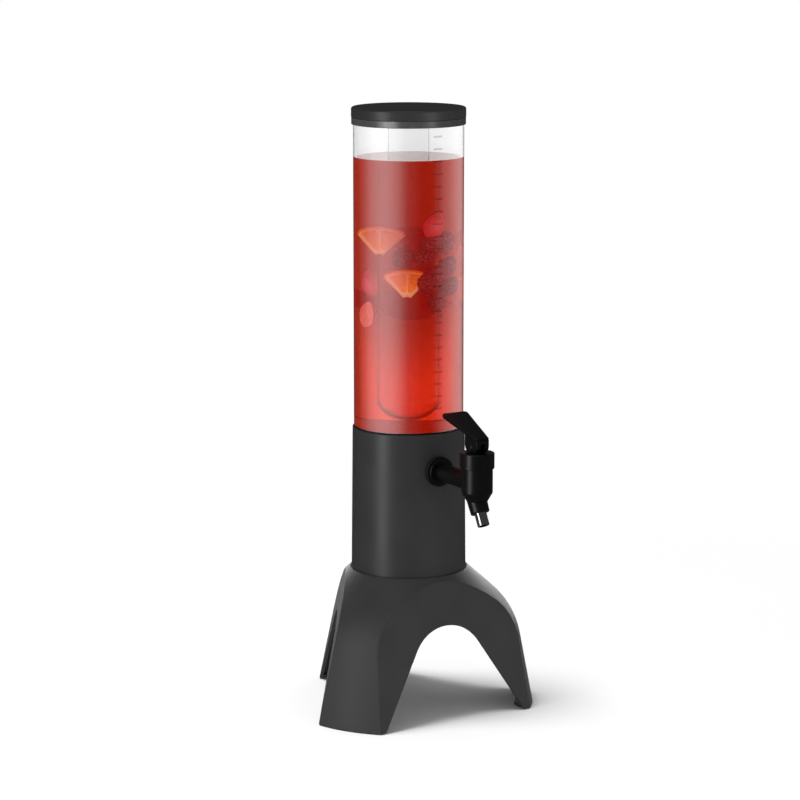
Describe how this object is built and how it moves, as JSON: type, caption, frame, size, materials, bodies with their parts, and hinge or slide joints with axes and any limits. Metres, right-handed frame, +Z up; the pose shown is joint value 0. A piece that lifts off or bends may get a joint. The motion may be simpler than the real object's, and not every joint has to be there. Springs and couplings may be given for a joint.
{
  "type": "beer tower",
  "caption": "Table drink tower: a legged bell base, a lower housing with a lever tap, a clear tube with an ice tube inside, and a lid.",
  "frame": {"origin": "on the tower's axis, at the table that the feet stand on", "axes": "+Z up the tower's axis, -Y towards the tap, +X to the right of someone who faces the tap's front"},
  "size_m": [0.2236, 0.247, 0.552],
  "materials": {
    "dark_plastic": "dark grey moulded plastic, satin",
    "black_plastic": "black moulded plastic, half gloss",
    "clear_plastic": "clear moulded plastic, polished",
    "silicone": "grey silicone",
    "rubber": "black rubber",
    "steel": "stainless steel",
    "bright_metal": "chrome plate"
  },
  "bodies": {
    "base": {"base_shell": "dark_plastic", "foot_left": "rubber", "foot_right": "rubber", "foot_rear": "rubber", "twist_lock_ring": "dark_plastic", "ring_screws": "steel"},
    "tower": {"lower_housing": "dark_plastic", "tube_gasket": "rubber", "drink_tube": "clear_plastic", "rim_gasket": "silicone", "outer_gasket": "rubber", "inner_gasket": "silicone", "tap_nut": "black_plastic", "tap_body": "black_plastic", "tap_bonnet": "black_plastic", "bonnet_seal": "silicone", "valve_spring": "steel", "spout_seal": "silicone", "spout_elbow": "black_plastic", "spout_nozzle": "bright_metal"},
    "stem": {"valve_stem": "black_plastic", "seat_cup": "silicone", "lever_pin": "steel"},
    "lever": {"tap_lever": "black_plastic"},
    "ice": {"ice_tube": "clear_plastic"},
    "lid": {"lid": "dark_plastic"}
  },
  "joints": [
    {"name": "tower_twist", "type": "hinge", "parent": "base", "child": "tower", "pos_m": [0, 0, 0.1155], "axis": [0, 0, 1], "range_deg": [0, 28]},
    {"name": "ice_tube_lift", "type": "slide", "parent": "tower", "child": "ice", "axis": [0, 0, 1], "range_m": [0, 0.3]},
    {"name": "lid_lift", "type": "slide", "parent": "ice", "child": "lid", "axis": [0, 0, 1], "range_m": [0, 0.06]},
    {"name": "stem_lift", "type": "slide", "parent": "tower", "child": "stem", "axis": [0, 0, 1], "range_m": [0, 0.003], "stiffness_N_per_m": 400, "springref_m": -0.003, "deforming": ["valve_spring"]},
    {"name": "lever_pull", "type": "hinge", "parent": "stem", "child": "lever", "pos_m": [0, -0.116, 0.26075], "axis": [1, 0, 0], "range_deg": [0, 60]}
  ],
  "couplings": [
    {"joint": "lever_pull", "follows": "stem_lift", "rad_per_m": 349.07}
  ]
}
